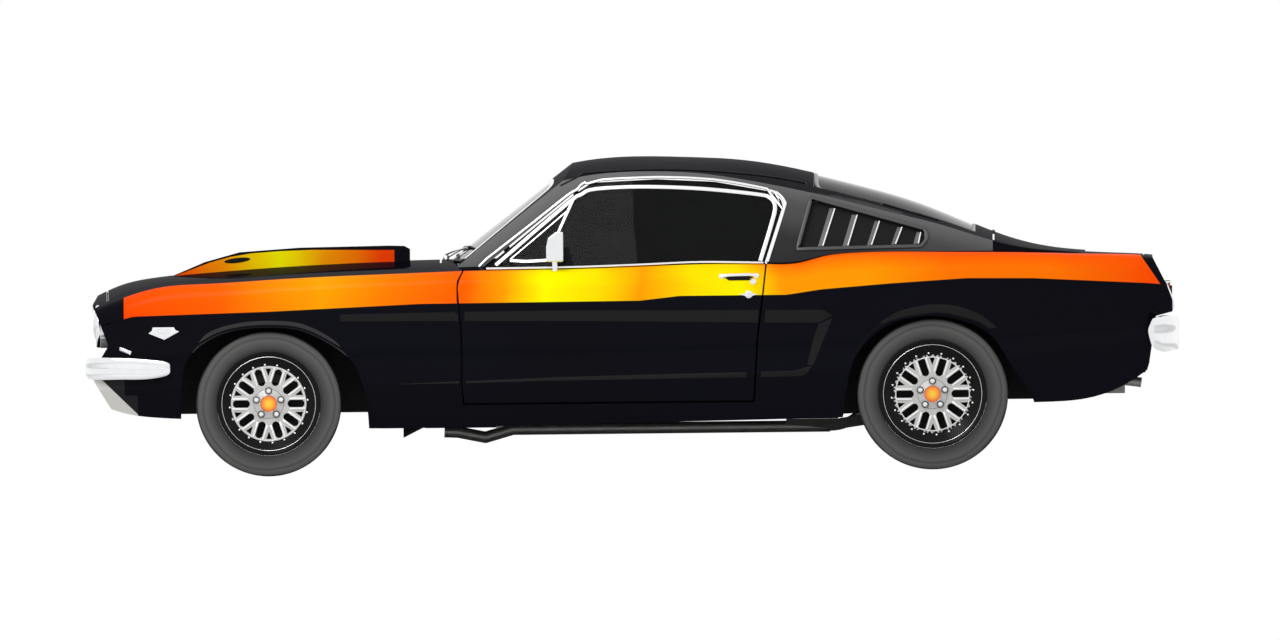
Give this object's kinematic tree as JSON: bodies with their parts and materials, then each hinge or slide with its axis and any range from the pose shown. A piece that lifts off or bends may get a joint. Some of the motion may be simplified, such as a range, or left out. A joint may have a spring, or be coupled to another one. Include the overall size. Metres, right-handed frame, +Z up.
{
  "type": "fastback muscle car",
  "caption": "Two-door fastback muscle car with opening doors, hood and deck lid, steered front wheels and mesh-spoked wheels that roll.",
  "frame": {"origin": "bottom centre of the bounding box, on the ground between the axles", "axes": "+X along the car towards its tail, +Y towards its right side, +Z up"},
  "size_m": [4.519, 1.7322, 1.3066],
  "materials": {
    "bare_steel": "dull steel",
    "black_trim": "satin black",
    "body_paint": "gloss black paint with an orange and yellow band",
    "cabin_plastic": "grained black",
    "chrome_trim": "bright chrome",
    "dark_mesh": "satin black",
    "lamp_glass": "clear lamp glass",
    "red_lens": "red lens",
    "seat_vinyl": "black seat cover",
    "tyre": "black rubber",
    "underbody_iron": "black underbody",
    "wheel_alloy": "cast alloy with black lip",
    "window_glass": "dark tinted glass"
  },
  "bodies": {
    "shell": {"cowl": "body_paint", "dashboard": "cabin_plastic", "engine": "underbody_iron", "engine_bay": "body_paint", "exhaust": "bare_steel", "fender_left": "body_paint", "fender_right": "body_paint", "floor_pan": "body_paint", "front_bumper": "chrome_trim", "front_suspension": "underbody_iron", "front_valance": "body_paint", "fuel_tank": "bare_steel", "grille": "dark_mesh", "headlamps": "lamp_glass", "leaf_springs": "underbody_iron", "nose_panel": "body_paint", "propeller_shaft": "underbody_iron", "quarter_left": "body_paint", "quarter_louvres": "black_trim", "quarter_right": "body_paint", "rear_axle": "underbody_iron", "rear_bumper": "chrome_trim", "rear_window": "window_glass", "roof": "body_paint", "seats": "seat_vinyl", "tail_lamps": "red_lens", "tail_panel": "body_paint", "windscreen": "window_glass"},
    "left_door": {"door_left": "body_paint", "door_glass_left": "window_glass", "mirror": "body_paint"},
    "right_door": {"door_right": "body_paint", "door_glass_right": "window_glass"},
    "bonnet": {"hood": "body_paint"},
    "boot_lid": {"deck_lid": "body_paint"},
    "steering_left": {"knuckle_left": "underbody_iron"},
    "steering_right": {"knuckle_right": "underbody_iron"},
    "front_left_wheel": {"wheel_front_left": "wheel_alloy", "tyre_front_left": "tyre"},
    "front_right_wheel": {"wheel_front_right": "wheel_alloy", "tyre_front_right": "tyre"},
    "rear_left_wheel": {"wheel_rear_left": "wheel_alloy", "tyre_rear_left": "tyre"},
    "rear_right_wheel": {"wheel_rear_right": "wheel_alloy", "tyre_rear_right": "tyre"},
    "hand_wheel": {"steering_wheel": "cabin_plastic"}
  },
  "joints": [
    {"name": "door_left_swing", "type": "hinge", "parent": "shell", "child": "left_door", "pos_m": [-0.7861, -0.79967, 0.55], "axis": [0, 0, -1], "range_deg": [0, 65]},
    {"name": "door_right_swing", "type": "hinge", "parent": "shell", "child": "right_door", "pos_m": [-0.7861, 0.79967, 0.55], "axis": [0, 0, 1], "range_deg": [0, 65]},
    {"name": "hood_lift", "type": "hinge", "parent": "shell", "child": "bonnet", "pos_m": [-0.7908, 0, 0.891], "axis": [0, 1, 0], "range_deg": [0, 50]},
    {"name": "deck_lift", "type": "hinge", "parent": "shell", "child": "boot_lid", "pos_m": [1.497, 0, 0.98398], "axis": [0, -1, 0], "range_deg": [0, 60]},
    {"name": "steer_left", "type": "hinge", "parent": "shell", "child": "steering_left", "pos_m": [-1.5045, -0.69, 0.3], "axis": [0, 0, 1], "range_deg": [-30, 30]},
    {"name": "steer_right", "type": "hinge", "parent": "shell", "child": "steering_right", "pos_m": [-1.5045, 0.69, 0.3], "axis": [0, 0, 1], "range_deg": [-30, 30]},
    {"name": "wheel_front_left_spin", "type": "hinge", "parent": "steering_left", "child": "front_left_wheel", "pos_m": [-1.5045, -0.711, 0.3], "axis": [0, 1, 0], "continuous": true},
    {"name": "wheel_front_right_spin", "type": "hinge", "parent": "steering_right", "child": "front_right_wheel", "pos_m": [-1.5045, 0.711, 0.3], "axis": [0, 1, 0], "continuous": true},
    {"name": "wheel_rear_left_spin", "type": "hinge", "parent": "shell", "child": "rear_left_wheel", "pos_m": [1.2385, -0.711, 0.312], "axis": [0, 1, 0], "continuous": true},
    {"name": "wheel_rear_right_spin", "type": "hinge", "parent": "shell", "child": "rear_right_wheel", "pos_m": [1.2385, 0.711, 0.312], "axis": [0, 1, 0], "continuous": true},
    {"name": "steering_wheel_turn", "type": "hinge", "parent": "shell", "child": "hand_wheel", "pos_m": [-0.4632, -0.3464, 0.7836], "axis": [0.9439, 0, 0.3304], "range_deg": [-480, 480]}
  ],
  "couplings": [
    {"joint": "steer_right", "follows": "steer_left", "ratio": 1},
    {"joint": "steering_wheel_turn", "follows": "steer_left", "ratio": 16}
  ]
}
